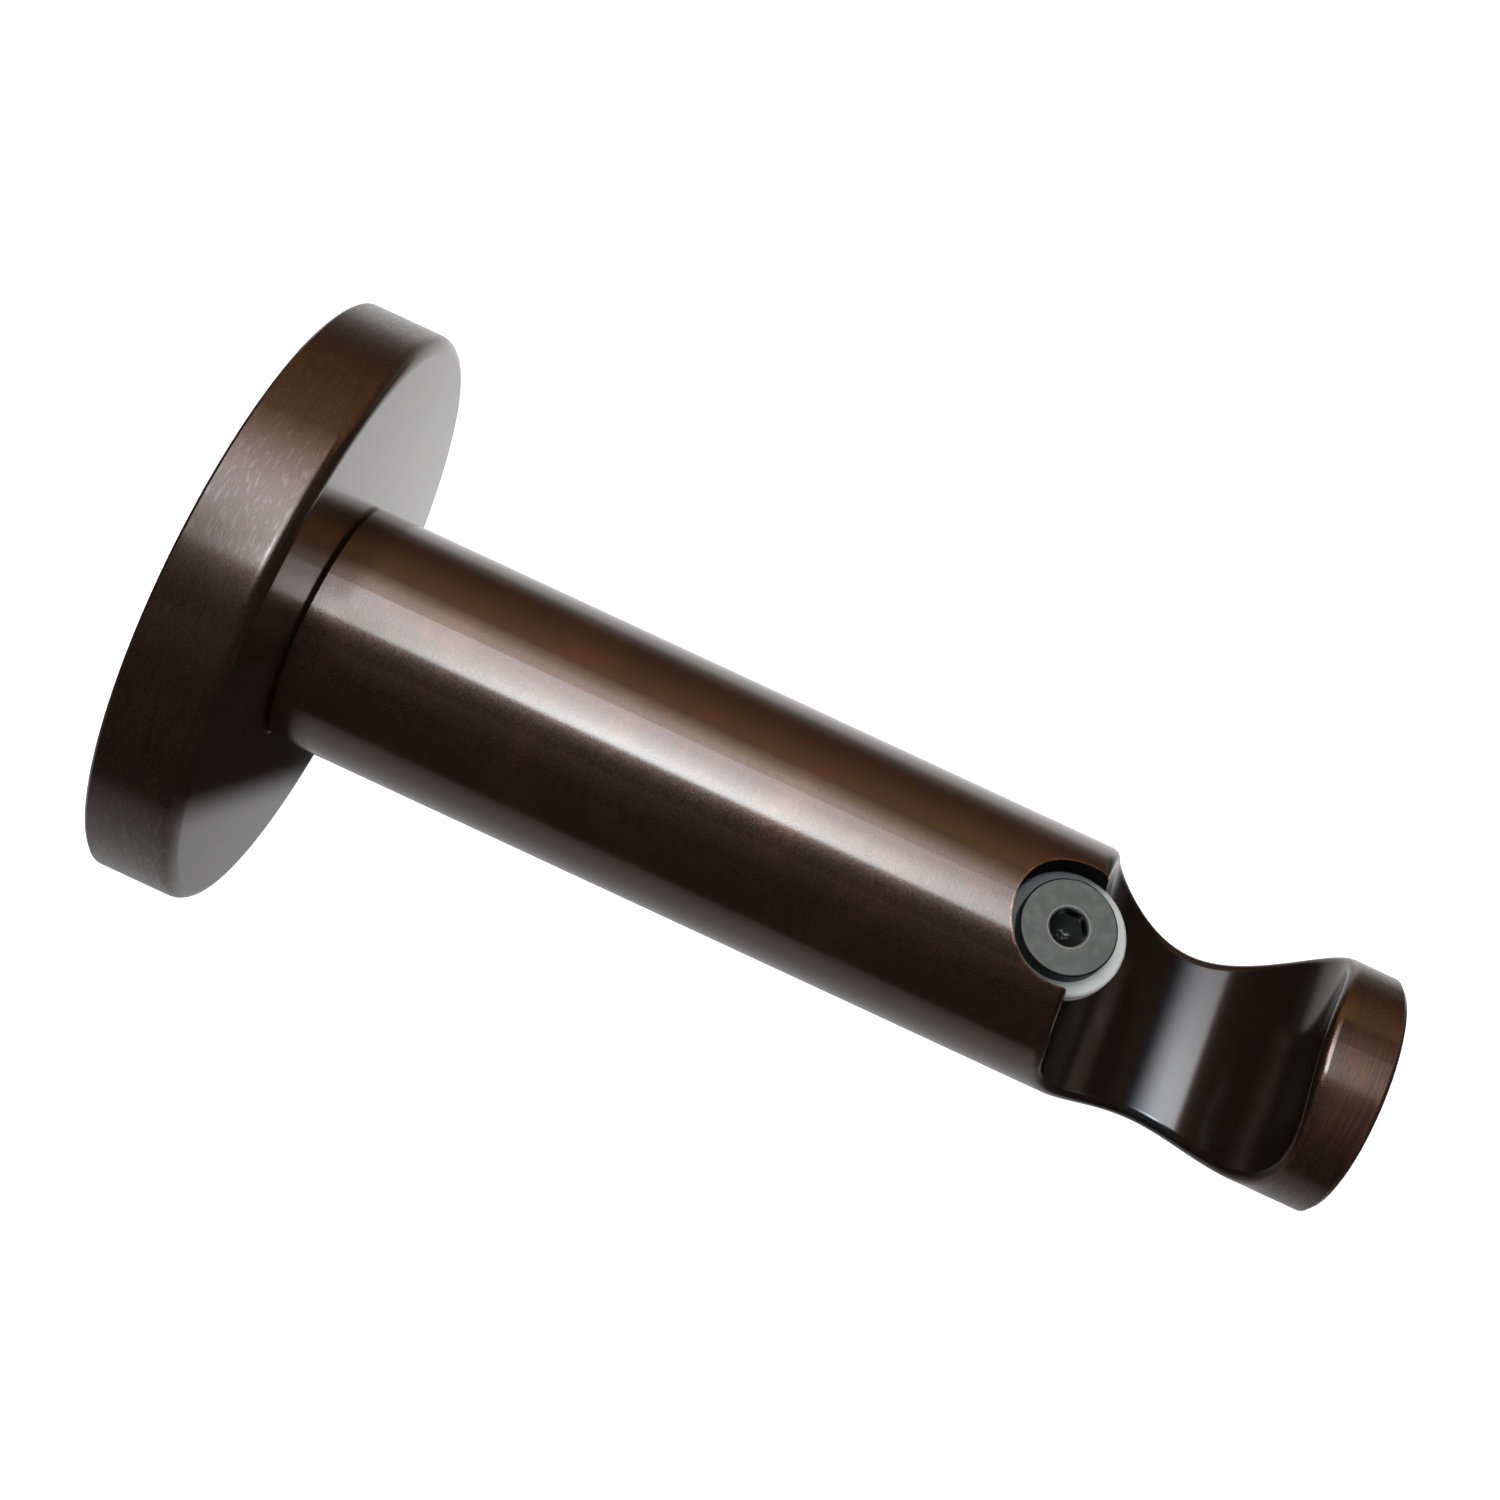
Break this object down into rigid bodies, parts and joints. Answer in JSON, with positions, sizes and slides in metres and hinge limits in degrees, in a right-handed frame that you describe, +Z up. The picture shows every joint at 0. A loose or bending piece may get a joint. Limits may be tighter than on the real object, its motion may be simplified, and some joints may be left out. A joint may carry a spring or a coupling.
{
  "type": "curtain pole bracket",
  "caption": "Wall bracket for a curtain pole: round rose, turned arm and an open round seat near the tip, with a low-head socket screw and broad washer that lock the pole.",
  "frame": {"origin": "on the wall, at the centre of the wall plate's back face, on the arm's axis", "axes": "+X out of the wall along the arm, +Z up towards the open side of the seat, pole along Y"},
  "size_m": [0.1214, 0.0614, 0.0614],
  "materials": {
    "bronze": "dark oil-rubbed bronze plating over turned metal, finely brushed round the axis",
    "plated_steel": "plain zinc-plated steel",
    "black_steel": "matt black-oxide steel",
    "pale_washer": "matt pale grey"
  },
  "bodies": {
    "root": {"wall_rose": "bronze", "arm": "bronze", "wall_plate": "plated_steel", "rim_grub_screw": "black_steel", "arm_screw": "black_steel", "lock_screw": "black_steel", "lock_washer": "pale_washer"}
  },
  "joints": []
}
